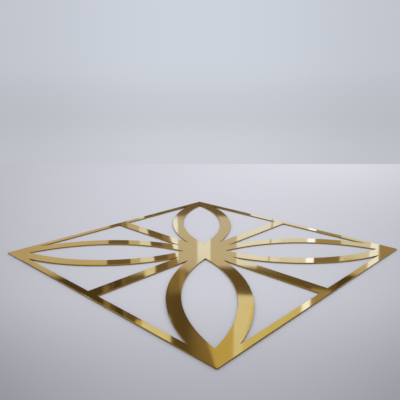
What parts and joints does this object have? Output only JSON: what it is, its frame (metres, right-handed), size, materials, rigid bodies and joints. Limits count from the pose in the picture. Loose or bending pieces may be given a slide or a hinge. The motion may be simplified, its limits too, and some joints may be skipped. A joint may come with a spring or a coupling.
{
  "type": "fretwork wall panel",
  "caption": "Square mirror-polished brass fretwork wall panel: a cross, a border and pointed petals cut from one thin sheet, with foam tape pads and release liners on its back.",
  "frame": {"origin": "centre of the rear plane, where the release liners lie on the surface below", "axes": "+Z is the normal of the polished face, away from the wall; X and Y run along the panel's sides and the cross's arms"},
  "size_m": [0.6, 0.6, 0.0031],
  "materials": {
    "brass": "mirror polished face, cut edges brushed fine",
    "foam_tape": "matt closed-cell acrylic foam",
    "release_liner": "smooth film"
  },
  "bodies": {
    "root": {"fretwork_sheet": "brass", "hub_pad": "foam_tape", "corner_pad_1": "foam_tape", "corner_pad_2": "foam_tape", "corner_pad_3": "foam_tape", "corner_pad_4": "foam_tape", "side_pad_1": "foam_tape", "side_pad_2": "foam_tape", "side_pad_3": "foam_tape", "side_pad_4": "foam_tape", "petal_pad_1": "foam_tape", "petal_pad_2": "foam_tape", "petal_pad_3": "foam_tape", "petal_pad_4": "foam_tape", "petal_pad_5": "foam_tape", "petal_pad_6": "foam_tape", "petal_pad_7": "foam_tape", "petal_pad_8": "foam_tape", "hub_liner": "release_liner", "corner_liner_1": "release_liner", "corner_liner_2": "release_liner", "corner_liner_3": "release_liner", "corner_liner_4": "release_liner", "side_liner_1": "release_liner", "side_liner_2": "release_liner", "side_liner_3": "release_liner", "side_liner_4": "release_liner", "petal_liner_1": "release_liner", "petal_liner_2": "release_liner", "petal_liner_3": "release_liner", "petal_liner_4": "release_liner", "petal_liner_5": "release_liner", "petal_liner_6": "release_liner", "petal_liner_7": "release_liner", "petal_liner_8": "release_liner"}
  },
  "joints": []
}
